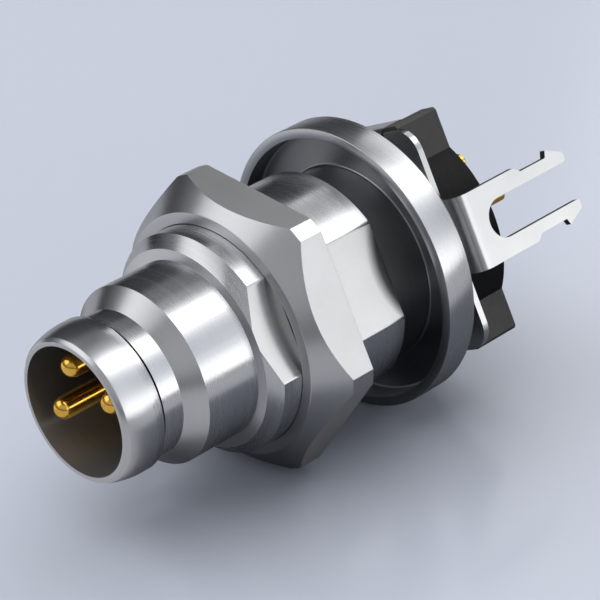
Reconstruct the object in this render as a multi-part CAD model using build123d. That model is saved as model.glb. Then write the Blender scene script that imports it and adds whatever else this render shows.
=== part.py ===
from build123d import *
from math import sqrt
import os

# Circular sensor connector: a round three-pin plug socket for a panel, with a shield plate at the back.
# The axis lies along Y, the mating end faces -Y, and the origin is on the axis in the panel's rear plane.
# All sizes are in millimetres. Stations along the axis are counted from the panel plane, rear positive.

# Clocking of the milled flat: its normal stands this many degrees above +X
clocking = 30.0

# Housing, outside, from the flange forward to the mating end
flange_diameter = 13.0
flange_thickness = 1.5
flange_edge = 0.08
recess_rim = 0.45
recess_depth = 0.95
recess_chamfer = 0.12
undercut_diameter = 8.9
undercut_length = 1.18
panel_thread_diameter = 9.96
panel_thread_length = 7.1
lead_in_diameter = 9.0
lead_in_length = 0.54
flat_distance = 4.48
plug_thread_diameter = 8.0
plug_thread_length = 2.73
neck_wall = 0.35
neck_length = 1.2
bead_height = 0.2
bead_length = 1.8
bead_crown = 1.4
bead_fall = 0.23
rim_wall = 0.18
rim_length = 0.15

# Housing, inside and at the back
bore_diameter = 5.8
cavity_diameter = 7.2
cavity_depth = 9.7
collar_diameter = 9.6
collar_length = 0.7

# Mounting nut
nut_across_flats = 12.0
nut_corner_diameter = 13.46
nut_thickness = 2.4
nut_face_diameter = 11.0
nut_bore_chamfer = 0.12
nut_gap_to_panel = 4.89

# Contact pins: one in the middle of the top, two on the cross line
pin_circle_radius = 1.75
pin_angles = {"contact_pin_4": 270.0, "contact_pin_1": 180.0, "contact_pin_3": 0.0}
pin_diameter = 1.0
pin_tip_setback = 0.28
pin_collar_diameter = 1.3
pin_collar_length = 1.5
tail_diameter = 0.7
tail_chamfer = 0.12
tail_reach = 3.8

# Contact carrier
carrier_face_depth = 6.5
carrier_edge = 0.15
block_length = 2.4
core_diameter = 10.3
post_outer_half = 5.18
post_side_half = 3.95
post_edge = 0.12
tail_funnel = 0.2

# Square-cut seal round the carrier
seal_width = 1.0
seal_height = 0.85
seal_station = -4.6
seal_groove_spare = 0.2

# Shield plate, one folded sheet
sheet = 0.3
bend_inner_radius = 0.3
plate_half_width = 5.05
plate_corner_radius = 1.1
lug_face_distance = 5.18
lug_half_width = 2.95
lug_length = 1.5
notch_relief = 0.35
fork_face_distance = 6.42
fork_half_width = 1.69
fork_shoulder = 3.45
fork_shoulder_slope = 0.38
leg_half_width = 1.42
slot_width = 1.76
slot_start = 1.2
barb_half_width = 1.72
barb_back = 1.08
barb_rise = 0.12
leg_tip_half_width = 1.3
leg_tip_round = 0.14

# Clearances, each on one side
nut_clearance = 0.05
carrier_clearance = 0.03
seat_clearance = 0.1
moulding_gap = 0.01
hole_clearance = 0.08
lug_clearance = 0.05
post_clearance = 0.09

# Diameters of the nose, built up from its bore by the walls round it
neck_diameter = bore_diameter + 2 * neck_wall
bead_diameter = neck_diameter + 2 * bead_height
bead_front_diameter = bead_diameter - 2 * bead_fall
rim_diameter = bore_diameter + 2 * rim_wall

# Stations along the axis that follow from the lengths
thread_rear = -undercut_length
thread_front = thread_rear - panel_thread_length
lead_in_front = thread_front - lead_in_length
plug_thread_front = lead_in_front - plug_thread_length
neck_rear = plug_thread_front - (plug_thread_diameter - neck_diameter) / 2
neck_front = neck_rear - neck_length
nose_tip = neck_front - bead_length
collar_rear = flange_thickness + collar_length
cavity_front = collar_rear - cavity_depth
plate_front = collar_rear
plate_rear = plate_front + sheet
block_rear = plate_rear + block_length
tail_tip = block_rear + tail_reach
carrier_face = nose_tip + carrier_face_depth
nut_rear = -nut_gap_to_panel
nut_front = nut_rear - nut_thickness
pin_tip = nose_tip + pin_tip_setback
pin_collar_rear = plate_front - pin_collar_length
pin_collar_front = pin_collar_rear - pin_collar_length

# Radii that follow from the flange and the fits
recess_radius = flange_diameter / 2 - recess_rim
carrier_nose_radius = bore_diameter / 2 - carrier_clearance
carrier_core_radius = cavity_diameter / 2 - carrier_clearance
seal_outer_radius = cavity_diameter / 2
seal_inner_radius = seal_outer_radius - seal_height
plate_hole_radius = carrier_core_radius + hole_clearance
lug_recess_half = lug_face_distance - sheet - lug_clearance
post_inner_half = lug_half_width + post_clearance
bend_outer_radius = bend_inner_radius + sheet


def corner(face, radius, station):
    """The corner of a turning profile nearest to a radius and a station."""
    return face.vertices().sort_by_distance((radius, 0, station))[0]


def turning_profile(points):
    """A closed half section from (radius, station) corners."""
    return Plane.XZ * make_face(Polyline(*points, close=True))


def in_place(solid):
    """Turn a solid from the turning frame, axis along Z and flat towards X, into the part's frame."""
    return Rot(Y=-clocking) * Rot(X=-90) * solid


# Housing: one turned piece, bored from both ends, with a flat milled along its panel thread
def bead_front():
    """Rounded front of the nose, tangent to the bead at its crown."""
    start = Vector(bead_front_diameter / 2, nose_tip + rim_length)
    crown = Vector(bead_diameter / 2, nose_tip + bead_crown)
    rise = crown.X - start.X
    run = crown.Y - start.Y
    radius = (rise**2 + run**2) / (2 * rise)
    half_run = start.Y + run / 2
    middle = Vector(crown.X - radius + sqrt(radius**2 - (crown.Y - half_run) ** 2), half_run)
    return ThreePointArc(start, middle, crown)


def housing_profile():
    bead = bead_front()
    outside = Polyline(
        bead @ 1,
        (bead_diameter / 2, neck_front),
        (neck_diameter / 2, neck_front),
        (neck_diameter / 2, neck_rear),
        (plug_thread_diameter / 2, plug_thread_front),
        (plug_thread_diameter / 2, lead_in_front),
        (lead_in_diameter / 2, lead_in_front),
        (panel_thread_diameter / 2, thread_front),
        (panel_thread_diameter / 2, thread_rear),
        (undercut_diameter / 2, thread_rear),
        (undercut_diameter / 2, recess_depth),
        (recess_radius, recess_depth),
        (recess_radius, 0),
        (flange_diameter / 2, 0),
        (flange_diameter / 2, flange_thickness),
        (collar_diameter / 2, flange_thickness),
        (collar_diameter / 2, collar_rear),
        (cavity_diameter / 2, collar_rear),
        (cavity_diameter / 2, cavity_front),
        (bore_diameter / 2, cavity_front),
        (bore_diameter / 2, nose_tip),
        (rim_diameter / 2, nose_tip),
        bead @ 0,
    )
    profile = Plane.XZ * make_face([bead, outside])
    for radius in (recess_radius, undercut_diameter / 2):
        profile = chamfer(corner(profile, radius, recess_depth), recess_chamfer)
    for station in (0, flange_thickness):
        profile = chamfer(corner(profile, flange_diameter / 2, station), flange_edge)
    return profile


def housing():
    body = revolve(housing_profile(), Axis.Z)
    milled = Box(
        panel_thread_diameter,
        panel_thread_diameter,
        thread_rear - lead_in_front,
        align=(Align.MIN, Align.CENTER, Align.MIN),
    )
    return body - Pos(flat_distance, 0, lead_in_front) * milled


# Mounting nut: a hexagon with turned corners and one coned face, flats parallel to the housing's flat
def mounting_nut():
    face_radius = nut_face_diameter / 2
    corner_radius = nut_corner_diameter / 2
    inner_radius = panel_thread_diameter / 2 + nut_clearance
    blank = turning_profile(
        [
            (inner_radius + nut_bore_chamfer, nut_front),
            (face_radius, nut_front),
            (corner_radius, nut_front + corner_radius - face_radius),
            (corner_radius, nut_rear),
            (inner_radius + nut_bore_chamfer, nut_rear),
            (inner_radius, nut_rear - nut_bore_chamfer),
            (inner_radius, nut_front + nut_bore_chamfer),
        ]
    )
    hexagon = RegularPolygon(nut_across_flats / 2, 6, major_radius=False, rotation=30)
    prism = Pos(0, 0, nut_front) * extrude(hexagon, nut_thickness)
    return revolve(blank, Axis.Z) & prism


# Contact pins: domed contact, collar held in the moulding, thinner solder tail
def pin_profile(gap=0.0):
    """Half section of one pin, or of its channel in the moulding when a gap is given."""
    radius = pin_diameter / 2 + gap
    collar = pin_collar_diameter / 2 + gap
    tail = tail_diameter / 2 + gap
    dome_base = pin_tip + pin_diameter / 2
    dome = ThreePointArc(
        (0, dome_base - radius),
        (radius * sqrt(0.5), dome_base - radius * sqrt(0.5)),
        (radius, dome_base),
    )
    rest = Polyline(
        dome @ 1,
        (radius, pin_collar_front - gap),
        (collar, pin_collar_front - gap),
        (collar, pin_collar_rear + gap),
        (tail, pin_collar_rear + gap),
        (tail, tail_tip - tail_chamfer),
        (tail - tail_chamfer, tail_tip),
        (0, tail_tip),
        dome @ 0,
    )
    return Plane.XZ * make_face([dome, rest])


def at_pin(angle, solid):
    """Move what is centred on the axis to the place of the pin at this angle."""
    return Rot(Z=angle) * Pos(pin_circle_radius, 0, 0) * solid


def contact_pin(angle):
    return at_pin(angle, revolve(pin_profile(), Axis.Z))


# Contact carrier: a stepped round core in the housing and a block with four corner posts behind it
def carrier_core():
    groove_half = (seal_width + seal_groove_spare) / 2
    profile = turning_profile(
        [
            (0, carrier_face),
            (carrier_nose_radius, carrier_face),
            (carrier_nose_radius, cavity_front + seat_clearance),
            (carrier_core_radius, cavity_front + seat_clearance),
            (carrier_core_radius, seal_station - groove_half),
            (seal_inner_radius, seal_station - groove_half),
            (seal_inner_radius, seal_station + groove_half),
            (carrier_core_radius, seal_station + groove_half),
            (carrier_core_radius, plate_rear),
            (0, plate_rear),
        ]
    )
    profile = chamfer(corner(profile, carrier_nose_radius, carrier_face), carrier_edge)
    return revolve(profile, Axis.Z)


def carrier_block():
    """Round drum with corner posts; the two sides between the posts stand back for the lugs."""
    posts = Rectangle(2 * post_side_half, 2 * post_outer_half)
    posts = chamfer(posts.vertices(), post_edge)
    recess = Rectangle(2 * post_inner_half, 2 * (post_outer_half - lug_recess_half))
    outline = Circle(core_diameter / 2) + posts
    outline -= [Pos(0, side * post_outer_half) * recess for side in (-1, 1)]
    block = Pos(0, 0, plate_rear) * extrude(outline, block_length)
    bend_room = bend_inner_radius + lug_clearance
    for side in (-1, 1):
        edge = block.edges().sort_by_distance((0, side * lug_recess_half, plate_rear))[0]
        block = chamfer(edge, bend_room)
    return block


def contact_carrier():
    carrier = carrier_core() + carrier_block()
    funnel = Cone(
        tail_diameter / 2,
        tail_diameter / 2 + tail_funnel,
        tail_funnel,
        align=(Align.CENTER, Align.CENTER, Align.MAX),
    )
    channel = revolve(pin_profile(moulding_gap), Axis.Z) + Pos(0, 0, block_rear) * funnel
    for angle in pin_angles.values():
        carrier -= at_pin(angle, channel)
    return carrier


# Carrier seal: a square-cut rubber ring between the floor of its groove and the wall of the cavity
def carrier_seal():
    front = seal_station - seal_width / 2
    rear = seal_station + seal_width / 2
    section = turning_profile(
        [
            (seal_inner_radius, front),
            (seal_outer_radius, front),
            (seal_outer_radius, rear),
            (seal_inner_radius, rear),
        ]
    )
    return revolve(section, Axis.Z)


# Shield plate: a square sheet round the carrier, two side lugs and a barbed solder fork bent to the rear
def bent_strip(face_distance, half_width, rear):
    """Strip that leaves the plate towards +X and turns to the rear, its outer face at a distance."""
    start = plate_hole_radius + sheet
    section = turning_profile(
        [
            (start, plate_front),
            (face_distance, plate_front),
            (face_distance, rear),
            (face_distance - sheet, rear),
            (face_distance - sheet, plate_rear),
            (start, plate_rear),
        ]
    )
    section = fillet(corner(section, face_distance, plate_front), bend_outer_radius)
    section = fillet(corner(section, face_distance - sheet, plate_rear), bend_inner_radius)
    return extrude(section, half_width, both=True)


def fork_outline():
    """Flat pattern of the fork: a wide root, two legs with barbs, and a slot with a round end."""
    shoulder = plate_front + fork_shoulder
    barb = tail_tip - barb_back
    slot_centre = plate_front + slot_start + slot_width / 2
    half = make_face(
        Polyline(
            (0, plate_front),
            (fork_half_width, plate_front),
            (fork_half_width, shoulder),
            (leg_half_width, shoulder + fork_shoulder_slope),
            (leg_half_width, barb),
            (barb_half_width, barb + barb_rise),
            (leg_tip_half_width, tail_tip),
            (0, tail_tip),
            close=True,
        )
    )
    slot = Pos(0, slot_centre) * Circle(slot_width / 2)
    slot += Pos(0, slot_centre) * Rectangle(
        slot_width, tail_tip - slot_centre, align=(Align.CENTER, Align.MIN)
    )
    leg = half - slot
    leg = fillet(corner_2d(leg, leg_tip_half_width, tail_tip), leg_tip_round)
    leg = fillet(corner_2d(leg, slot_width / 2, tail_tip), leg_tip_round)
    return leg + mirror(leg, Plane.YZ)


def corner_2d(face, across, along):
    return face.vertices().sort_by_distance((across, along, 0))[0]


def solder_fork():
    strip = bent_strip(fork_face_distance, max(fork_half_width, barb_half_width), tail_tip)
    pattern = extrude(Plane.YZ * fork_outline(), fork_face_distance + sheet)
    return strip & pattern


def shield_plate():
    blank = RectangleRounded(2 * plate_half_width, 2 * plate_half_width, plate_corner_radius)
    bend_line = lug_face_distance - bend_outer_radius
    notch = Rectangle(
        2 * (lug_half_width + notch_relief),
        plate_half_width,
        align=(Align.CENTER, Align.MIN),
    )
    blank -= Circle(plate_hole_radius)
    blank -= [Rot(Z=turn) * Pos(0, bend_line) * notch for turn in (0, 180)]
    plate = Pos(0, 0, plate_front) * extrude(blank, sheet)
    lug = bent_strip(lug_face_distance, lug_half_width, plate_front + lug_length)
    for turn in (90, -90):
        plate += Rot(Z=turn) * lug
    return plate + solder_fork()


def build_parts():
    parts = {
        "housing": housing(),
        "mounting_nut": mounting_nut(),
        "contact_carrier": contact_carrier(),
        "carrier_seal": carrier_seal(),
        "shield_plate": shield_plate(),
    }
    for name, angle in pin_angles.items():
        parts[name] = contact_pin(angle)
    return parts


os.makedirs("parts", exist_ok=True)
for name, solid in build_parts().items():
    piece = in_place(solid)
    piece.label = name
    export_step(piece, f"parts/{name}.step")
    box = piece.bounding_box()
    print(f"{name}: {piece.volume:.2f} mm3, {box.size.X:.2f} x {box.size.Y:.2f} x {box.size.Z:.2f} mm")
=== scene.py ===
import math
import bmesh
import bpy
from mathutils import Matrix, Vector


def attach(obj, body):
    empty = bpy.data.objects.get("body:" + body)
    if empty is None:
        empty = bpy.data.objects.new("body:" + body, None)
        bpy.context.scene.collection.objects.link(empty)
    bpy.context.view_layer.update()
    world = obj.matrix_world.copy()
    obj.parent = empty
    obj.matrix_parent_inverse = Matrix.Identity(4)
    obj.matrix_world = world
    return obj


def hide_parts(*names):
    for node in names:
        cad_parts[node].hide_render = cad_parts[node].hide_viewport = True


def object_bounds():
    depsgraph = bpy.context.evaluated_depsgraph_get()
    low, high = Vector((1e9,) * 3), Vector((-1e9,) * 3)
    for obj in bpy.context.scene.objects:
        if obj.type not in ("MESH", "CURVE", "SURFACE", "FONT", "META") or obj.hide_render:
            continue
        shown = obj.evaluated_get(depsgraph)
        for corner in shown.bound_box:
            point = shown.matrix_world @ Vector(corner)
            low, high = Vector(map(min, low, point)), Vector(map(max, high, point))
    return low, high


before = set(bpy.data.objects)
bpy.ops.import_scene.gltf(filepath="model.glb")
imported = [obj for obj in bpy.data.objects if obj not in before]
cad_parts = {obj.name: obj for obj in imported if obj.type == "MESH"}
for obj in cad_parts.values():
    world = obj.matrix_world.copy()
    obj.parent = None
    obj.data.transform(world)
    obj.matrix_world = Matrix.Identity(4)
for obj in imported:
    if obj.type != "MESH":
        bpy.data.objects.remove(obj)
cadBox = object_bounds()
scene = bpy.context.scene


def outwards(degrees):
    # away from the connector's axis, turned up from +X
    a = math.radians(degrees)
    return Vector((math.cos(a), 0, math.sin(a)))


# Sizes below are in millimetres in the turning frame: x out of the milled flat, y across it,
# z along the axis with the panel's rear plane at 0 and the solder tails at the far end
mm = 0.001
near = 1e-6  # stations and radii closer than this are the same
slack = 0.01  # the same for points that lie on a curve
weldDistance = 1e-5  # points closer than this become one
alongAxis = Vector((0, 1, 0))
outOfFlat = outwards(30)  # the milled flat faces 30 degrees above +X
acrossFlat = alongAxis.cross(outOfFlat)
turningToFrame = (Matrix((outOfFlat, acrossFlat, alongAxis)).transposed().to_4x4()
                  @ Matrix.Diagonal((mm, mm, mm, 1)))


# mesh helpers

def addRing(bm, points, z):
    return [bm.verts.new((x, y, z)) for x, y in points]


def joinRings(bm, first, second):
    faces = []
    for i in range(len(first)):
        j = (i + 1) % len(first)
        faces.append(bm.faces.new((first[i], first[j], second[j], second[i])))
    return faces


def joinInTurn(bm, rings):
    for first, second in zip(rings, rings[1:]):
        joinRings(bm, first, second)


def circlePoints(radius, count, centre=(0, 0)):
    step = 2 * math.pi / count
    return [(centre[0] + radius * math.cos(i * step), centre[1] + radius * math.sin(i * step))
            for i in range(count)]


def arcPoints(centre, radius, start, end, count):
    first = math.radians(start)
    turn = (math.radians(end) - first) / count
    return [(centre[0] + radius * math.cos(first + i * turn), centre[1] + radius * math.sin(first + i * turn))
            for i in range(count + 1)]


def roundedCorner(before, corner, after, radius, steps):
    # the points of a round that takes the place of a corner between two straight lines
    corner = Vector(corner)
    a, b = (Vector(before) - corner).normalized(), (Vector(after) - corner).normalized()
    turn = a.angle(b)
    centre = corner + (a + b).normalized() * radius / math.sin(turn / 2)
    start = corner + a * radius / math.tan(turn / 2) - centre
    end = corner + b * radius / math.tan(turn / 2) - centre
    sweep = start.angle_signed(end)
    return [tuple(centre + Matrix.Rotation(-sweep * i / steps, 2) @ start) for i in range(steps + 1)]


def closeWithFan(bm, ring, z):
    tip = bm.verts.new((sum(v.co.x for v in ring) / len(ring), sum(v.co.y for v in ring) / len(ring), z))
    for i in range(len(ring)):
        bm.faces.new((ring[i], ring[(i + 1) % len(ring)], tip))


def fillOutline(bm, loops):
    # flat faces between an outer loop and the loops of its holes
    edges = []
    for loop in loops:
        for i in range(len(loop)):
            pair = (loop[i], loop[(i + 1) % len(loop)])
            edges.append(bm.edges.get(pair) or bm.edges.new(pair))
    bmesh.ops.triangle_fill(bm, edges=edges, use_beauty=True, use_dissolve=False)


def finishPiece(name, bm, body, materials, edge, nodes, angle=18, turned=False):
    # turns the mesh into the part's frame and softens its edges, or keeps them crisp where edge is 0
    bmesh.ops.remove_doubles(bm, verts=bm.verts, dist=weldDistance)
    bmesh.ops.recalc_face_normals(bm, faces=bm.faces)
    bm.transform(turningToFrame)
    mesh = bpy.data.meshes.new(name)
    bm.to_mesh(mesh)
    bm.free()
    for face in mesh.polygons:
        face.use_smooth = True
    for material in materials:
        mesh.materials.append(material)
    piece = bpy.data.objects.new(name, mesh)
    scene.collection.objects.link(piece)
    if not turned:
        mesh.set_sharp_from_angle(angle=math.radians(angle))
    if edge:
        bevel = piece.modifiers.new("softEdges", "BEVEL")
        bevel.width = edge * mm
        bevel.segments = 2
        bevel.limit_method = "ANGLE"
        bevel.angle_limit = math.radians(angle)
        bevel.use_clamp_overlap = True
        bevel.harden_normals = not turned
    if turned:
        weighted = piece.modifiers.new("evenShading", "WEIGHTED_NORMAL")
        weighted.weight = 100
    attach(piece, body)
    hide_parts(*nodes)


# material helpers

# a noise crowds round its middle: these are the ends that its clouds and its fine lines reach
cloudRange = (0.35, 0.65)
lineRange = (0.3, 0.7)


def newMaterial(name, metal=0.0):
    material = bpy.data.materials.new(name)
    material.use_nodes = True
    tree = material.node_tree
    shader = tree.nodes["Principled BSDF"]
    shader.inputs["Metallic"].default_value = metal
    return material, tree, shader


def addNode(tree, kind, values=None, **settings):
    node = tree.nodes.new(kind)
    for key, value in settings.items():
        setattr(node, key, value)
    for key, value in (values or {}).items():
        if isinstance(value, bpy.types.NodeSocket):
            tree.links.new(value, node.inputs[key])
        else:
            node.inputs[key].default_value = value
    return node


def addNoise(tree, place, scale, detail, roughness=0.5):
    return addNode(tree, "ShaderNodeTexNoise", {
        "Vector": place, "Scale": scale, "Detail": detail, "Roughness": roughness,
    }).outputs["Fac"]


def ownCoordinates(tree):
    return addNode(tree, "ShaderNodeTexCoord").outputs["Object"]


def turnedCoordinates(tree, acrossScale, alongScale):
    # fast along the lathe's feed, slow round the axis, so noise draws out into turning lines
    faceFeed = 1.37  # on a face the lines follow one another this much faster than along a cylinder
    parts = addNode(tree, "ShaderNodeSeparateXYZ", {0: ownCoordinates(tree)})
    across = addNode(tree, "ShaderNodeCombineXYZ", {0: parts.outputs[0], 2: parts.outputs[2]})
    radius = addNode(tree, "ShaderNodeVectorMath", {0: across.outputs[0]}, operation="LENGTH")
    feed = addNode(tree, "ShaderNodeMath", {0: radius.outputs["Value"], 1: faceFeed, 2: parts.outputs[1]},
                   operation="MULTIPLY_ADD")
    fast = addNode(tree, "ShaderNodeMath", {0: feed.outputs[0], 1: acrossScale}, operation="MULTIPLY")
    slow = addNode(tree, "ShaderNodeVectorMath", {0: across.outputs[0], "Scale": alongScale}, operation="SCALE")
    slowParts = addNode(tree, "ShaderNodeSeparateXYZ", {0: slow.outputs[0]})
    return addNode(tree, "ShaderNodeCombineXYZ",
                   {0: fast.outputs[0], 1: slowParts.outputs[0], 2: slowParts.outputs[2]}).outputs[0]


def mapValue(tree, value, low, high, fromLow=0.0, fromHigh=1.0):
    return addNode(tree, "ShaderNodeMapRange", {
        "Value": value, "From Min": fromLow, "From Max": fromHigh, "To Min": low, "To Max": high,
    }).outputs[0]


def mixColours(tree, factor, first, second):
    # each of the two is a colour or another node's output
    first, second = (c if isinstance(c, bpy.types.NodeSocket) else (*c, 1) for c in (first, second))
    return addNode(tree, "ShaderNodeMix", {0: factor, 6: first, 7: second}, data_type="RGBA").outputs[2]


def coatShader(tree, shader, look, colour, wear, relief, depth=0.01):
    # the colour, a roughness that follows the wear, and the fine relief of the marks
    tree.links.new(colour, shader.inputs["Base Color"])
    tree.links.new(mapValue(tree, wear, look["smoothest"], look["roughest"], *lineRange),
                   shader.inputs["Roughness"])
    bump = addNode(tree, "ShaderNodeBump", {"Strength": look["bump"], "Distance": depth * mm, "Height": relief})
    tree.links.new(bump.outputs[0], shader.inputs["Normal"])


def turnedNickel(name, look, metal=1.0):
    # nickel plate over turned brass, brushed round the axis
    material, tree, shader = newMaterial(name, metal)
    shader.inputs["Anisotropic"].default_value = look["grain"]
    shader.inputs["Anisotropic Rotation"].default_value = look["grainTurn"]
    tangent = addNode(tree, "ShaderNodeTangent", direction_type="RADIAL", axis="Y")
    tree.links.new(tangent.outputs[0], shader.inputs["Tangent"])
    lines = addNoise(tree, turnedCoordinates(tree, look["linesPerMetre"], look["lineWander"]), 1.0, 2.0, 0.6)
    bands = addNoise(tree, turnedCoordinates(tree, look["bandsPerMetre"], look["bandWander"]), 1.0, 2.0)
    both = addNode(tree, "ShaderNodeMath",
                   {0: lines, 1: 1 - look["bandShare"], 2: mapValue(tree, bands, 0, look["bandShare"])},
                   operation="MULTIPLY_ADD").outputs[0]
    colour = mixColours(tree, mapValue(tree, both, 0, 1, *cloudRange), look["darkLine"], look["brightLine"])
    coatShader(tree, shader, look, colour, both, lines)
    return material


def paintFlatReflection(tree, place, colour, paintedReflection):
    # painted reflection: a milled flat darkens towards its rear end, first in the middle of its width, as if it
    # mirrored the flange's dark recess
    along = addNode(tree, "ShaderNodeSeparateXYZ", {0: place}).outputs[1]
    across = addNode(tree, "ShaderNodeVectorMath", {0: place, 1: acrossFlat},
                     operation="DOT_PRODUCT").outputs["Value"]
    bowed = addNode(tree, "ShaderNodeMath", {0: across, 1: across}, operation="MULTIPLY").outputs[0]
    station = addNode(tree, "ShaderNodeMath", {0: bowed, 1: -paintedReflection["bow"] / mm, 2: along},
                      operation="MULTIPLY_ADD").outputs[0]
    share = mapValue(tree, station, 0, 1, paintedReflection["from"] * mm, paintedReflection["to"] * mm)
    return mixColours(tree, share, colour, paintedReflection["colour"])


def evenMetal(name, look, paintedReflection=None):
    # plate without a grain direction: milled nickel, tinned sheet and gold
    material, tree, shader = newMaterial(name, 1.0)
    place = ownCoordinates(tree)
    stretched = addNode(tree, "ShaderNodeMapping", {"Vector": place, "Scale": (1, look["markStretch"], 1)})
    marks = addNoise(tree, stretched.outputs[0], look["marksPerMetre"], look["markDetail"])
    clouds = addNoise(tree, place, look["cloudsPerMetre"], 3.0)
    colour = mixColours(tree, mapValue(tree, clouds, 0, 1, *cloudRange), look["dull"], look["bright"])
    # painted reflection at the rear end of the flat, where one is given
    if paintedReflection:
        colour = paintFlatReflection(tree, place, colour, paintedReflection)
    coatShader(tree, shader, look, colour, marks, marks)
    return material


def mouldedBlack(name, look):
    # glass-filled moulding: fine matt skin with a few paler patches
    material, tree, shader = newMaterial(name)
    place = ownCoordinates(tree)
    grain = addNoise(tree, place, look["grainPerMetre"], 3.0)
    patches = addNoise(tree, place, look["patchesPerMetre"], 2.0)
    colour = mixColours(tree, mapValue(tree, patches, 0, 1, *cloudRange), look["dark"], look["pale"])
    coatShader(tree, shader, look, colour, grain, grain, 0.02)
    shader.inputs["Specular IOR Level"].default_value = look["shine"]
    return material


# camera at the photograph's angle
view = {
    "spot": (74.21, -76.34, 67.44),
    "target": (0.212, -2.666, -0.286),
    "lens": 174.2,
    "nearest": 5.0,
}
spot, target = Vector(view["spot"]), Vector(view["target"])
cameraData = bpy.data.cameras.new("photoCamera")
cameraData.lens = view["lens"]
cameraData.clip_start = view["nearest"] * mm
camera = bpy.data.objects.new("photoCamera", cameraData)
camera.location = spot * mm
camera.rotation_euler = (target - spot).to_track_quat("-Z", "Y").to_euler()
scene.collection.objects.link(camera)
scene.camera = camera
print("camera placed")


# floor and soft studio light
studio = {
    "floorSize": 3000.0,
    "floorColour": (0.577, 0.616, 0.71), "floorMottle": 0.015, "mottlesPerMetre": 30.0,
    "floorRoughness": 0.16, "floorMirror": 0.45,  # for the camera a faint mirror image, as on the photo's floor
    "floorUnseen": (0.16, 0.17, 0.195),  # what the object gets back from the floor: the photo's metal is dark below
    "backdrop": (0.60, 0.642, 0.745),
    "fadeStart": 60.0, "fadeEnd": 230.0,  # over this distance the floor passes into the backdrop
    "roomFront": (0.45, 0.455, 0.47), "roomBack": (0.05, 0.051, 0.055),
    "roomFacing": (0.35, -0.93, 0.1), "roomTurn": (-0.35, 0.45),  # where the room is bright, and how softly it turns
    "darkRim": 0.28, "rimHeights": (0.08, 0.26),  # the room darkens towards the floor
    "darkTop": 0.2, "topHeights": (0.68, 0.86),  # and straight above
}
softBoxes = [
    # name, azimuth from +Y towards +X, elevation, distance, width, height, brightness, shows in the metal
    ("overheadKey", -80, 74, 230, 420, 420, 1.52, False),
    ("frontLeftFill", -140, 38, 270, 230, 160, 1.05, True),
    ("rearFill", -12, 30, 270, 220, 160, 1.1, True),
]
# long cards parallel to the connector, for the bands of light along its turned metal
cards = {"distance": 230.0, "station": 137.0, "length": 435.0}
white, pale, hazy = (1.0, 1.0, 1.0), (0.94, 0.97, 1.0), (0.92, 0.95, 1.0)
cardBands = [
    # name, from and to angle round the connector's axis (+X is 0, straight up is 90), brightness, colour
    ("lowCard", 1.5, 14, 2.0, white),
    ("lowCardEdge", 14, 23, 1.45, white),
    ("hazeLow", 23, 32, 0.92, pale),
    ("hazeMiddle", 32, 50, 0.70, hazy),
    ("hazeHigh", 50, 57, 0.90, pale),
    ("highCardFront", 57, 64, 1.35, white),
    ("highCard", 64, 88, 2.5, white),
    ("highCardRear", 88, 95, 1.0, white),
    ("fadeCard", 95, 108, 0.4, white),
    ("darkCard", 108, 132, 0.16, white),
]
floorCards = [
    # name, from and to x, from and to y, brightness: in front and at both sides, just over the floor
    ("frontFloorCard", -90, 70, -140, -13.5, 0.36),
    ("rightFloorCard", 24, 190, -12, 190, 0.40),
    ("leftFloorCard", -190, -18, -60, 190, 0.24),
]
cardLift = 0.1  # of those three over the floor
boreStrip = {"angle": 20, "radius": 2.75, "station": -11.9, "width": 1.8, "length": 4.6, "brightness": 2.6}
gapStrip = {"radius": 4.77, "station": -6.95, "height": 0.56, "width": 4.0, "brightness": 0.30}
floorHeight = cadBox[0][2] / mm  # the flange's rim rests on the floor


def makeFloor():
    material, tree, shader = newMaterial("paleFloor")
    place = ownCoordinates(tree)
    mottle = addNoise(tree, place, studio["mottlesPerMetre"], 2.0)
    darker, lighter = (tuple((1 + side * studio["floorMottle"]) * c for c in studio["floorColour"])
                       for side in (-1, 1))
    toCamera = addNode(tree, "ShaderNodeLightPath").outputs["Is Camera Ray"]
    seen = mixColours(tree, mottle, darker, lighter)
    tree.links.new(mixColours(tree, toCamera, studio["floorUnseen"], seen), shader.inputs["Base Color"])
    shader.inputs["Roughness"].default_value = studio["floorRoughness"]
    tree.links.new(mapValue(tree, toCamera, 0, studio["floorMirror"]), shader.inputs["Specular IOR Level"])
    reach = addNode(tree, "ShaderNodeVectorMath", {0: place}, operation="LENGTH").outputs["Value"]
    far = mapValue(tree, reach, 0, 1, studio["fadeStart"] * mm, studio["fadeEnd"] * mm)
    farSeen = addNode(tree, "ShaderNodeMath", {0: far, 1: toCamera}, operation="MULTIPLY").outputs[0]
    glow = addNode(tree, "ShaderNodeEmission", {"Color": (*studio["backdrop"], 1)}).outputs[0]
    faded = addNode(tree, "ShaderNodeMixShader", {0: farSeen, 1: shader.outputs[0], 2: glow}).outputs[0]
    tree.links.new(faded, tree.nodes["Material Output"].inputs["Surface"])
    half = studio["floorSize"] / 2 * mm
    mesh = bpy.data.meshes.new("floor")
    mesh.from_pydata([(-half, -half, 0), (half, -half, 0), (half, half, 0), (-half, half, 0)], [], [(0, 1, 2, 3)])
    mesh.materials.append(material)
    floor = bpy.data.objects.new("floor", mesh)
    floor.location.z = floorHeight * mm
    scene.collection.objects.link(floor)


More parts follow.
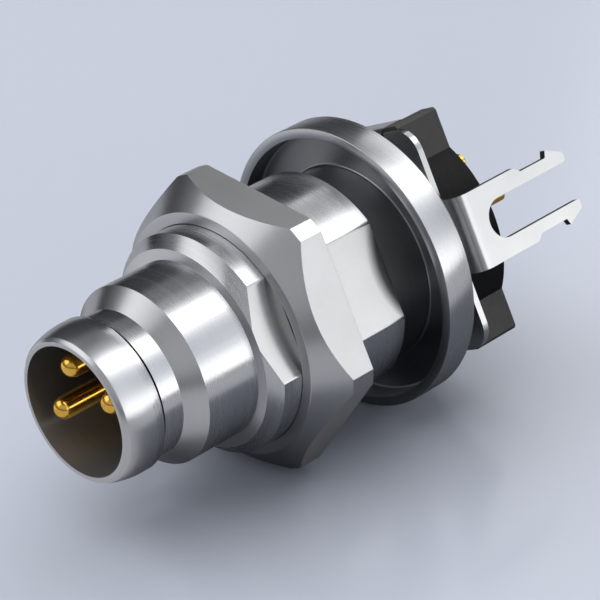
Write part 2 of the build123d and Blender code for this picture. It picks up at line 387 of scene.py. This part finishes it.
def makeWorld():
    world = bpy.data.worlds.new("studioRoom")
    world.use_nodes = True
    scene.world = world
    tree = world.node_tree
    direction = addNode(tree, "ShaderNodeTexCoord").outputs["Generated"]
    facing = addNode(tree, "ShaderNodeVectorMath", {0: direction, 1: studio["roomFacing"]},
                     operation="DOT_PRODUCT").outputs["Value"]
    sides = mixColours(tree, mapValue(tree, facing, 0, 1, *studio["roomTurn"]),
                       studio["roomBack"], studio["roomFront"])
    height = addNode(tree, "ShaderNodeSeparateXYZ", {0: direction}).outputs[2]
    rim = mapValue(tree, height, studio["darkRim"], 1.0, *studio["rimHeights"])
    top = mapValue(tree, height, 1.0, studio["darkTop"], *studio["topHeights"])
    both = addNode(tree, "ShaderNodeMath", {0: rim, 1: top}, operation="MULTIPLY").outputs[0]
    shaded = addNode(tree, "ShaderNodeVectorMath", {0: sides, "Scale": both}, operation="SCALE").outputs[0]
    toCamera = addNode(tree, "ShaderNodeLightPath").outputs["Is Camera Ray"]
    tree.links.new(mixColours(tree, toCamera, shaded, studio["backdrop"]),
                   tree.nodes["Background"].inputs["Color"])


def addLamp(name, place, rotation, width, height, brightness, colour=white):
    # a rectangular lamp that the camera can't see; its brightness is that of a glowing sheet
    data = bpy.data.lights.new(name, "AREA")
    data.shape = "RECTANGLE"
    data.size, data.size_y = width * mm, height * mm
    data.color = colour
    data.energy = brightness * math.pi * data.size * data.size_y
    lamp = bpy.data.objects.new(name, data)
    lamp.location = place * mm
    lamp.rotation_euler = rotation
    lamp.visible_camera = False
    scene.collection.objects.link(lamp)
    return lamp


def makeSoftBox(name, azimuth, elevation, distance, width, height, brightness, inMetal):
    a, e = math.radians(azimuth), math.radians(elevation)
    towards = Vector((math.sin(a) * math.cos(e), math.cos(a) * math.cos(e), math.sin(e)))
    aim = (-towards).to_track_quat("-Z", "Y").to_euler()
    addLamp(name, towards * distance, aim, width, height, brightness).visible_glossy = inMetal


def makePanel(name, centre, back, along, width, length, brightness, colour=white):
    # a glowing panel that only reflections show; back points away from its bright side
    turn = Matrix((along.cross(back), along, back)).transposed().to_euler()
    addLamp(name, centre, turn, width, length, brightness, colour).visible_diffuse = False


def makeCards():
    for name, first, last, brightness, colour in cardBands:
        out = outwards((first + last) / 2)
        centre = out * cards["distance"] + alongAxis * cards["station"]
        width = 2 * cards["distance"] * math.tan(math.radians(last - first) / 2)
        makePanel(name, centre, out, alongAxis, width, cards["length"], brightness, colour)
    down = Vector((0, 0, -1))
    for name, left, right, front, rear, brightness in floorCards:
        centre = Vector(((left + right) / 2, (front + rear) / 2, floorHeight + cardLift))
        makePanel(name, centre, down, alongAxis, right - left, rear - front, brightness)


def makeStrips():
    # just inside the bore, so the shafts of the pins catch light
    s = boreStrip
    out = outwards(s["angle"])
    makePanel("boreStrip", out * s["radius"] + alongAxis * s["station"], out, alongAxis,
              s["width"], s["length"], s["brightness"])
    # in the gap between the milled flat and the nut's bore
    s = gapStrip
    makePanel("gapStrip", outOfFlat * s["radius"] + alongAxis * s["station"], alongAxis, acrossFlat,
              s["height"], s["width"], s["brightness"])


makeFloor()
makeWorld()
makeCards()
makeStrips()
for box in softBoxes:
    makeSoftBox(*box)
scene.view_settings.view_transform = "Standard"
print("studio lit")


# housing
housing = {
    "flange": 13.0, "flangeThickness": 1.5, "flangeEdge": 0.02,
    "recessRim": 0.45, "recessDepth": 0.95, "recessRound": 0.12, "recessRoundSteps": 7,
    "undercut": 8.9, "undercutLength": 1.18,
    "panelThread": 9.96, "panelThreadLength": 7.1,
    "leadIn": 9.0, "leadInLength": 0.54, "flatDistance": 4.48,
    "plugThread": 8.0, "plugThreadLength": 2.73,
    "neck": 6.5, "neckLength": 1.2, "rootGroove": 0.14, "rootWidth": 0.22,
    "bead": 6.9, "beadLength": 1.8, "beadCrown": 1.4, "beadFront": 6.44, "beadSteps": 14,
    "rim": 6.16, "rimLength": 0.15,
    "bore": 5.8, "cavity": 7.2, "cavityDepth": 9.7,
    "collar": 9.6, "collarLength": 0.7,
    "flatSteps": 40, "roundSteps": 240, "softEdge": 0.015,
}
threadRear = -housing["undercutLength"]
threadFront = threadRear - housing["panelThreadLength"]
leadInFront = threadFront - housing["leadInLength"]
plugThreadFront = leadInFront - housing["plugThreadLength"]
neckRear = plugThreadFront - (housing["plugThread"] - housing["neck"]) / 2  # a cone of 45 degrees
neckFront = neckRear - housing["neckLength"]
noseTip = neckFront - housing["beadLength"]
collarRear = housing["flangeThickness"] + housing["collarLength"]
cavityFront = collarRear - housing["cavityDepth"]
recessRadius = housing["flange"] / 2 - housing["recessRim"]

nickelLook = {
    "darkLine": (0.585, 0.595, 0.615), "brightLine": (0.615, 0.625, 0.645),
    "linesPerMetre": 12000.0, "lineWander": 30.0, "bandsPerMetre": 2600.0, "bandWander": 80.0, "bandShare": 0.35,
    "smoothest": 0.19, "roughest": 0.33, "grain": 0.75, "grainTurn": 0.25, "bump": 0.015,
}
milledLook = {
    "dull": (0.49, 0.495, 0.50), "bright": (0.505, 0.51, 0.515), "cloudsPerMetre": 500.0,
    "marksPerMetre": 9000.0, "markStretch": 0.22, "markDetail": 3.0,
    "smoothest": 0.24, "roughest": 0.27, "bump": 0.003,
}
# painted reflection of the flange's dark recess: the flat darkens between these stations, later the further a spot
# is from the middle of its width
flatPaintedReflection = {"colour": (0.075, 0.077, 0.08), "from": -2.05, "to": -1.5, "bow": 0.15}
broadLook = dict(nickelLook, linesPerMetre=9000.0, smoothest=0.22, roughest=0.36, grainTurn=0.32, bump=0.014)
facedLook = dict(nickelLook, darkLine=(0.57, 0.58, 0.60), brightLine=(0.61, 0.62, 0.64), linesPerMetre=40000.0,
                 smoothest=0.28, roughest=0.31, grain=0.5, bump=0.008)
# painted shade: the undercut, the flange's recess and its wall are darker nickel, standing in for the shade in the
# recess
recessPaintedShadeLook = dict(facedLook, darkLine=(0.29, 0.295, 0.305), brightLine=(0.33, 0.335, 0.345), smoothest=0.3)
# painted shade: the nickel inside the bore is darkened and partly matt, standing in for the shade in the bore
borePaintedShadeLook = dict(facedLook, darkLine=(0.17, 0.17, 0.168), brightLine=(0.22, 0.22, 0.216), roughest=0.38)
# painted shade: the groove behind the bead is nearly black nickel, a painted dark crease
rootPaintedShadeLook = dict(facedLook, darkLine=(0.02, 0.02, 0.021), brightLine=(0.04, 0.04, 0.041),
                smoothest=0.4, roughest=0.5)
# the housing's finishes, and their places in its list of materials
housingFinishes = [
    turnedNickel("nickelTurned", nickelLook),
    evenMetal("nickelMilled", milledLook, flatPaintedReflection),
    turnedNickel("nickelRecessPaintedShade", recessPaintedShadeLook),
    turnedNickel("nickelBorePaintedShade", borePaintedShadeLook, 0.6),
    turnedNickel("nickelFaced", facedLook),
    turnedNickel("nickelRootPaintedShade", rootPaintedShadeLook),
    turnedNickel("nickelTurnedBroad", broadLook),
]
turnedSlot, milledSlot, recessPaintedShadeSlot, borePaintedShadeSlot, facedSlot, rootPaintedShadeSlot, broadSlot = range(len(housingFinishes))


def beadCurve():
    # an arc that leaves the crown level and falls to the rim
    startR, startZ = housing["beadFront"] / 2, noseTip + housing["rimLength"]
    crownR, crownZ = housing["bead"] / 2, noseTip + housing["beadCrown"]
    rise, run = crownR - startR, crownZ - startZ
    radius = (rise ** 2 + run ** 2) / (2 * rise)
    shares = [i / housing["beadSteps"] for i in range(housing["beadSteps"] + 1)]
    return [(crownR - radius + math.sqrt(radius ** 2 - (run * (1 - share)) ** 2), startZ + run * share)
            for share in shares]


def housingProfile():
    # radius and station, from the bore's front edge over the outside and back through the cavity
    h = housing
    bore, bead, neck, plugThread, thread = (
        h[part] / 2 for part in ("bore", "bead", "neck", "plugThread", "panelThread"))
    groove, grooveRear = neck - h["rootGroove"], neckFront + h["rootWidth"]
    undercut, collar, cavity, flange = (h[part] / 2 for part in ("undercut", "collar", "cavity", "flange"))
    floorRear, flangeRear, edge = h["recessDepth"], h["flangeThickness"], h["flangeEdge"]
    inner, outer = (undercut, floorRear), (recessRadius, floorRear)
    recessRound = (h["recessRound"], h["recessRoundSteps"])
    return [
        (bore, noseTip), (h["rim"] / 2, noseTip), *beadCurve(), (bead, neckFront),
        (neck, neckFront), (groove, neckFront), (groove, grooveRear), (neck, grooveRear),
        (neck, neckRear), (plugThread, plugThreadFront), (plugThread, leadInFront),
        (h["leadIn"] / 2, leadInFront), (thread, threadFront), (thread, threadRear),
        (undercut, threadRear),
        *roundedCorner((undercut, threadRear), inner, outer, *recessRound),
        *roundedCorner(inner, outer, (recessRadius, 0), *recessRound),
        (recessRadius, 0), (flange - edge, 0), (flange, edge),
        (flange, flangeRear - edge), (flange - edge, flangeRear),
        (collar, flangeRear), (collar, collarRear),
        (cavity, collarRear), (cavity, cavityFront), (bore, cavityFront),
    ]


def housingRing(radius, z):
    # a full circle, or a circle with its chord where the flat is milled
    flat = housing["flatDistance"]
    onFlat = leadInFront - near <= z <= threadRear + near and radius > flat
    edge = math.acos(flat / (radius if onFlat else housing["panelThread"] / 2))
    points = []
    for i in range(housing["flatSteps"]):
        share = i / housing["flatSteps"]
        if onFlat:
            half = radius * math.sin(edge)
            points.append((flat, -half + 2 * half * share))
        else:
            points.append((radius * math.cos(edge * (2 * share - 1)), radius * math.sin(edge * (2 * share - 1))))
    rest = 2 * math.pi - 2 * edge
    for i in range(housing["roundSteps"]):
        a = edge + rest * i / housing["roundSteps"]
        points.append((radius * math.cos(a), radius * math.sin(a)))
    return points


def bandSlot(first, second, onThread):
    # the finish of the band between two points of the profile
    (r1, z1), (r2, z2) = first, second
    front, rear, widest = min(z1, z2), max(z1, z2), max(r1, r2)
    if onThread:
        return turnedSlot
    # the bore takes the darker nickel of painted shade
    if widest <= housing["bore"] / 2 + near:
        return borePaintedShadeSlot
    # the undercut and the flange's recess take the darker nickel of painted shade
    if threadRear - near <= front and rear <= housing["recessDepth"] + near and widest < recessRadius + slack:
        return recessPaintedShadeSlot
    # the groove behind the bead takes the nearly black nickel of painted shade
    if neckFront - near <= front and rear <= neckFront + housing["rootWidth"] + near:
        if widest <= housing["neck"] / 2 + near:
            return rootPaintedShadeSlot
    if abs(r1 - r2) > near:
        return facedSlot
    return broadSlot if z1 > 0 else turnedSlot


def makeHousing():
    bm = bmesh.new()
    line = housingProfile()
    rings = [addRing(bm, housingRing(r, z), z) for r, z in line]
    for i, point in enumerate(line):
        j = (i + 1) % len(line)
        z1, z2 = point[1], line[j][1]
        onThread = leadInFront - near <= min(z1, z2) and max(z1, z2) <= threadRear + near and z1 != z2
        faces = joinRings(bm, rings[i], rings[j])
        for face in faces:
            face.material_index = bandSlot(point, line[j], onThread)
        if onThread:
            for face in faces[:housing["flatSteps"]]:
                face.material_index = milledSlot
    finishPiece("housingTurned", bm, "connector", housingFinishes, housing["softEdge"],
                ["housing"], turned=True)


makeHousing()
print("housing turned")


# mounting nut
nut = {
    "acrossFlats": 12.0, "corners": 13.46, "thickness": 2.4, "face": 11.0,
    "boreEdge": 0.02, "boreEdgeSteps": 6, "gapToFlange": 4.89, "clearance": 0.02,
    "flatSteps": 28, "cornerSteps": 4, "softEdge": 0.025,
}
nutLook = dict(facedLook, darkLine=(0.54, 0.55, 0.57), brightLine=(0.58, 0.59, 0.61))
nutFlatLook = dict(milledLook, dull=(0.60, 0.605, 0.61), bright=(0.63, 0.635, 0.64), smoothest=0.42, roughest=0.46)


def makeNut():
    bm = bmesh.new()
    half, corner, face = nut["acrossFlats"] / 2, nut["corners"] / 2, nut["face"] / 2
    bore = housing["panelThread"] / 2 + nut["clearance"]
    rear = -nut["gapToFlange"]
    front = rear - nut["thickness"]
    side = math.pi / 3
    reach = math.acos(half / corner)  # half the angle that a flat spans between its turned corners
    gap = side - 2 * reach
    angles, wide = [], []
    for middle in (k * side for k in range(6)):
        angles += [middle - reach + 2 * reach * i / nut["flatSteps"] for i in range(nut["flatSteps"])]
        angles += [middle + reach + gap * i / nut["cornerSteps"] for i in range(nut["cornerSteps"])]
    sector = nut["flatSteps"] + nut["cornerSteps"]
    for i, a in enumerate(angles):
        onFlat = i % sector <= nut["flatSteps"]
        wide.append(min(corner, half / math.cos(a - (i // sector) * side) if onFlat else corner))

    def ring(radii, stations):
        return [bm.verts.new((r * math.cos(a), r * math.sin(a), z)) for r, a, z in zip(radii, angles, stations)]

    def evenRing(radius, station):
        return ring([radius] * len(angles), [station] * len(angles))

    rings = [
        evenRing(face, front),
        ring(wide, [front + r - face for r in wide]),  # the coned front falls at 45 degrees
        ring(wide, [rear] * len(angles)),
    ]
    rearEdge = roundedCorner((face, rear), (bore, rear), (bore, front), nut["boreEdge"], nut["boreEdgeSteps"])
    frontEdge = roundedCorner((bore, rear), (bore, front), (face, front), nut["boreEdge"], nut["boreEdgeSteps"])
    rings += [evenRing(r, z) for r, z in rearEdge + frontEdge]
    bands = [joinRings(bm, rings[i], rings[(i + 1) % len(rings)]) for i in range(len(rings))]
    for k, quad in enumerate(bands[1]):
        if k % sector < nut["flatSteps"]:
            quad.material_index = 1  # milled flats
    finishPiece("nutHexagon", bm, "nut",
                [turnedNickel("nickelNutTurned", nutLook), evenMetal("nickelNutMilled", nutFlatLook)],
                nut["softEdge"], ["mounting_nut"])


makeNut()
print("nut cut")


# contact pins
pins = {
    "circle": 1.75, "angles": {"contact_pin_4": 270, "contact_pin_1": 180, "contact_pin_3": 0},
    "diameter": 1.0, "tipSetback": 0.28, "tipSteps": 15, "collar": 1.3, "collarLength": 1.5,
    "tail": 0.7, "tailChamfer": 0.12, "tailReach": 3.8, "steps": 64, "softEdge": 0.02,
}
sheet = 0.3
blockLength = 2.4
plateFront = collarRear
plateRear = plateFront + sheet
blockRear = plateRear + blockLength
tailTip = blockRear + pins["tailReach"]
goldLook = {
    "dull": (0.93, 0.50, 0.075), "bright": (1.0, 0.62, 0.125), "cloudsPerMetre": 2500.0,
    "marksPerMetre": 1500.0, "markStretch": 12.0, "markDetail": 2.0,
    "smoothest": 0.14, "roughest": 0.26, "bump": 0.15,
}
gold = evenMetal("goldPlate", goldLook)


def pinCentre(angle):
    a = math.radians(angle)
    return pins["circle"] * math.cos(a), pins["circle"] * math.sin(a)


def makePin(name, angle):
    radius, collar, tail = pins["diameter"] / 2, pins["collar"] / 2, pins["tail"] / 2
    chamfer = pins["tailChamfer"]
    tip = noseTip + pins["tipSetback"]
    collarBack = plateFront - pins["collarLength"]
    collarFront = collarBack - pins["collarLength"]
    turns = [math.radians(90 * i / pins["tipSteps"]) for i in range(1, pins["tipSteps"] + 1)]
    line = [(radius * math.sin(a), tip + radius - radius * math.cos(a)) for a in turns]
    line += [(radius, collarFront), (collar, collarFront), (collar, collarBack), (tail, collarBack),
             (tail, tailTip - chamfer), (tail - chamfer, tailTip)]
    bm = bmesh.new()
    rings = [addRing(bm, circlePoints(r, pins["steps"], pinCentre(angle)), z) for r, z in line]
    joinInTurn(bm, rings)
    closeWithFan(bm, rings[0], tip)
    closeWithFan(bm, rings[-1], tailTip)
    finishPiece(name.replace("contact_pin_", "goldPin"), bm, "connector", [gold],
                pins["softEdge"], [name])


for name, angle in pins["angles"].items():
    makePin(name, angle)
print("pins turned")


# contact carrier
carrier = {
    "faceDepth": 6.5, "edge": 0.15, "drum": 10.3, "drumSteps": 20, "coreSteps": 120, "softEdge": 0.025,
    "postOuter": 5.18, "postSide": 3.95, "postEdge": 0.12, "postGap": 0.09,
    "lugHalf": 2.95, "lugRecess": 4.83, "bendRoom": 0.35,
    "clearance": 0.03, "seat": 0.1, "blockGap": 0.02,  # round the core, at its shoulder and behind it
    "sealStation": -4.6, "sealWidth": 1.2, "sealFloor": 2.75,
    "pinGap": 0.01, "holeSteps": 40,
    "tailFunnel": (0.2, 0.2, 1.2), "pinFunnel": (0.07, 0.06, 1.0),  # its width and depth, and the hole's depth
}
mouldingLook = {
    "dark": (0.019, 0.0185, 0.0175), "pale": (0.032, 0.031, 0.0285), "grainPerMetre": 9000.0,
    "patchesPerMetre": 600.0, "smoothest": 0.42, "roughest": 0.58, "bump": 0.35, "shine": 0.5,
}
# painted shade: a darker, duller copy of the moulding for the drum between the posts
drumPaintedShadeLook = dict(mouldingLook, dark=(0.0015, 0.0015, 0.002), pale=(0.004, 0.004, 0.0045),
                smoothest=0.5, roughest=0.62, shine=0.15)


def blockOutline(recessHalf):
    # one quarter is drawn and mirrored: drum arc, post, and the side between the posts that stands back
    c = carrier
    drum, side, outer, edge = c["drum"] / 2, c["postSide"], c["postOuter"], c["postEdge"]
    inner = c["lugHalf"] + c["postGap"]
    meet = math.sqrt(drum ** 2 - side ** 2)
    quarter = arcPoints((0, 0), drum, 0, math.degrees(math.atan2(meet, side)), c["drumSteps"])
    quarter += [(side, outer - edge), (side - edge, outer), (inner, outer), (inner, recessHalf), (0, recessHalf)]
    top = quarter + [(-x, y) for x, y in reversed(quarter[:-1])]
    return top + [(x, -y) for x, y in reversed(top[1:-1])]


def pinHole(bm, centre, radius, mouthZ, inwards, funnel):
    # a blind hole with a funnel at its mouth, which is given back as the edge of the face round it
    wider, funnelDepth, depth = funnel
    mouth = addRing(bm, circlePoints(radius + wider, carrier["holeSteps"], centre), mouthZ)
    fitted = circlePoints(radius + carrier["pinGap"], carrier["holeSteps"], centre)
    throat = addRing(bm, fitted, mouthZ + inwards * funnelDepth)
    end = addRing(bm, fitted, mouthZ + inwards * depth)
    joinInTurn(bm, [mouth, throat, end])
    closeWithFan(bm, end, mouthZ + inwards * depth)
    return mouth


def makeCarrier():
    c = carrier
    bm = bmesh.new()
    centres = [pinCentre(angle) for angle in pins["angles"].values()]

    # block with its posts, and a funnel round each tail
    rear = addRing(bm, blockOutline(c["lugRecess"]), blockRear)
    middle = addRing(bm, blockOutline(c["lugRecess"]), plateRear + c["bendRoom"])
    front = addRing(bm, blockOutline(c["lugRecess"] - c["bendRoom"]), plateRear)
    for quad in joinRings(bm, rear, middle) + joinRings(bm, middle, front):
        if all(abs(v.co.xy.length - c["drum"] / 2) < slack for v in quad.verts):
            quad.material_index = 1  # the drum's round sides, in painted shade between the posts
    tailHoles = [pinHole(bm, centre, pins["tail"] / 2, blockRear, -1, c["tailFunnel"]) for centre in centres]
    fillOutline(bm, [rear] + tailHoles)
    fillOutline(bm, [front])

    # core in the housing, with the pins standing out of its face
    nose = housing["bore"] / 2 - c["clearance"]
    core = housing["cavity"] / 2 - c["clearance"]
    face = noseTip + c["faceDepth"]
    shoulder = cavityFront + c["seat"]
    grooveFront, grooveRear = c["sealStation"] - c["sealWidth"] / 2, c["sealStation"] + c["sealWidth"] / 2
    line = [
        (nose - c["edge"], face), (nose, face + c["edge"]), (nose, shoulder), (core, shoulder),
        (core, grooveFront), (c["sealFloor"], grooveFront), (c["sealFloor"], grooveRear), (core, grooveRear),
        (core, plateRear - c["blockGap"]),
    ]
    rings = [addRing(bm, circlePoints(r, c["coreSteps"]), z) for r, z in line]
    joinInTurn(bm, rings)
    fillOutline(bm, [rings[-1]])
    pinHoles = [pinHole(bm, centre, pins["diameter"] / 2, face, 1, c["pinFunnel"]) for centre in centres]
    fillOutline(bm, [rings[0]] + pinHoles)
    finishPiece("carrierMoulding", bm, "connector",
                [mouldedBlack("blackMoulding", mouldingLook), mouldedBlack("blackDrumPaintedShade", drumPaintedShadeLook)],
                c["softEdge"], ["contact_carrier"], angle=28)


makeCarrier()
print("carrier moulded")


# seal, hidden in its groove: the modelled ring stays and gets its rubber
rubberLook = {
    "dark": (0.012, 0.012, 0.013), "pale": (0.03, 0.03, 0.032), "bloomPerMetre": 3000.0,
    "smoothest": 0.5, "roughest": 0.7,
}


def sealRubber(name, look):
    material, tree, shader = newMaterial(name)
    bloom = addNoise(tree, ownCoordinates(tree), look["bloomPerMetre"], 3.0)
    tree.links.new(mixColours(tree, bloom, look["dark"], look["pale"]), shader.inputs["Base Color"])
    tree.links.new(mapValue(tree, bloom, look["smoothest"], look["roughest"]), shader.inputs["Roughness"])
    return material


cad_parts["carrier_seal"].data.materials[0] = sealRubber("sealRubber", rubberLook)
print("seal coated")


# shield plate, one folded sheet
plate = {
    "half": 5.05, "cornerRound": 1.1, "hole": 3.65, "innerBend": 0.3, "bendSteps": 10,
    "lugFace": 5.18, "lugHalf": 2.95, "lugLength": 1.5, "relief": 0.35,
    "forkFace": 6.42, "forkHalf": 1.69, "shoulder": 3.45, "shoulderSlope": 0.38,
    "legHalf": 1.42, "slotWidth": 1.76, "slotStart": 1.2, "barbHalf": 1.72, "barbBack": 1.08, "barbRise": 0.12,
    "tipHalf": 1.3, "tipRound": 0.14, "plainRoot": 0.2,  # the fork's cut edges turn dark this far from the plate
    "cornerSteps": 10, "slotSteps": 14, "tipSteps": 5, "holeSteps": 96,
}
tinLook = dict(milledLook, dull=(0.54, 0.55, 0.555), bright=(0.57, 0.58, 0.585), marksPerMetre=3500.0)
cutLook = dict(tinLook, dull=(0.07, 0.07, 0.072), bright=(0.11, 0.11, 0.112), smoothest=0.4, roughest=0.5)
outerBend = plate["innerBend"] + sheet
bendLength = outerBend * math.pi / 2
forkBend = plate["forkFace"] - outerBend  # where the bends start on the flat sheet
lugBend = plate["lugFace"] - outerBend


def forkPattern():
    # the fork laid out flat, outline from the plate to the tips of its two legs
    p = plate
    slot = p["slotWidth"] / 2

    def along(station):
        return forkBend + bendLength + station - plateFront - outerBend

    shoulderEnd = plateFront + p["shoulder"] + p["shoulderSlope"]
    slotCentre = along(plateFront + p["slotStart"] + slot)
    barb = (along(tailTip - p["barbBack"] + p["barbRise"]), p["barbHalf"])
    outerTip, innerTip = (along(tailTip), p["tipHalf"]), (along(tailTip), slot)
    leg = [
        (p["half"], p["forkHalf"]),
        (along(plateFront + p["shoulder"]), p["forkHalf"]),
        (along(shoulderEnd), p["legHalf"]),
        (along(tailTip - p["barbBack"]), p["legHalf"]),
        barb,
        *roundedCorner(barb, outerTip, innerTip, p["tipRound"], p["tipSteps"]),
        *roundedCorner(outerTip, innerTip, (slotCentre, slot), p["tipRound"], p["tipSteps"]),
        *arcPoints((slotCentre, 0), slot, 90, 180, p["slotSteps"]),
    ]
    return leg + [(x, -y) for x, y in reversed(leg[:-1])]


def plateOutline():
    # the blank, counter-clockwise from the fork's lower root
    p = plate
    half, r = p["half"], p["cornerRound"]
    lugEnd = lugBend + bendLength + p["lugLength"] - outerBend
    notch = p["lugHalf"] + p["relief"]
    quarter = arcPoints((half - r, half - r), r, 0, 90, p["cornerSteps"]) + [
        (notch, half), (notch, lugBend), (p["lugHalf"], lugBend), (p["lugHalf"], lugEnd)]
    top = quarter + [(-x, y) for x, y in reversed(quarter)]
    bottom = [(x, -y) for x, y in reversed(top)]
    return forkPattern()[::-1] + top + bottom


def bend(past):
    # how far out and up a point comes that lies this far past the start of a bend
    turn = min(past / outerBend, math.pi / 2)
    rest = max(past - bendLength, 0)
    return outerBend * math.sin(turn), outerBend * (1 - math.cos(turn)) + rest


def foldSheet(point):
    x, y = point
    if x > forkBend:
        out, up = bend(x - forkBend)
        return forkBend + out, y, plateFront + up
    if abs(y) > lugBend and abs(x) < plate["lugHalf"] + plate["relief"] / 2:
        out, up = bend(abs(y) - lugBend)
        return x, math.copysign(lugBend + out, y), plateFront + up
    return x, y, plateFront


def makePlate():
    p = plate
    bm = bmesh.new()
    outer = addRing(bm, plateOutline(), 0)
    hole = addRing(bm, circlePoints(p["hole"], p["holeSteps"]), 0)
    fillOutline(bm, [outer, hole])
    for across, start in (((1, 0, 0), forkBend), ((0, 1, 0), lugBend), ((0, -1, 0), lugBend)):
        for i in range(p["bendSteps"] + 1):
            spot = Vector(across) * (start + bendLength * i / p["bendSteps"])
            bmesh.ops.bisect_plane(bm, geom=bm.verts[:] + bm.edges[:] + bm.faces[:], plane_co=spot,
                                   plane_no=across, dist=near)
    bmesh.ops.recalc_face_normals(bm, faces=bm.faces)
    if sum(f.normal.z for f in bm.faces) > 0:
        bmesh.ops.reverse_faces(bm, faces=bm.faces)
    for vertex in bm.verts:
        vertex.co = foldSheet(vertex.co.xy)
    bm.normal_update()
    skin = set(bm.verts)
    bmesh.ops.solidify(bm, geom=bm.faces[:], thickness=sheet)
    for quad in bm.faces:
        outside = sum(v in skin for v in quad.verts)
        if 0 < outside < len(quad.verts) and quad.calc_center_median().x > p["half"] + p["plainRoot"]:
            quad.material_index = 1  # stamped edges of the fork
    finishPiece("shieldSheet", bm, "connector",
                [evenMetal("tinSheet", tinLook), evenMetal("stampedEdge", cutLook)], 0, ["shield_plate"], angle=25)


makePlate()
print("plate folded")
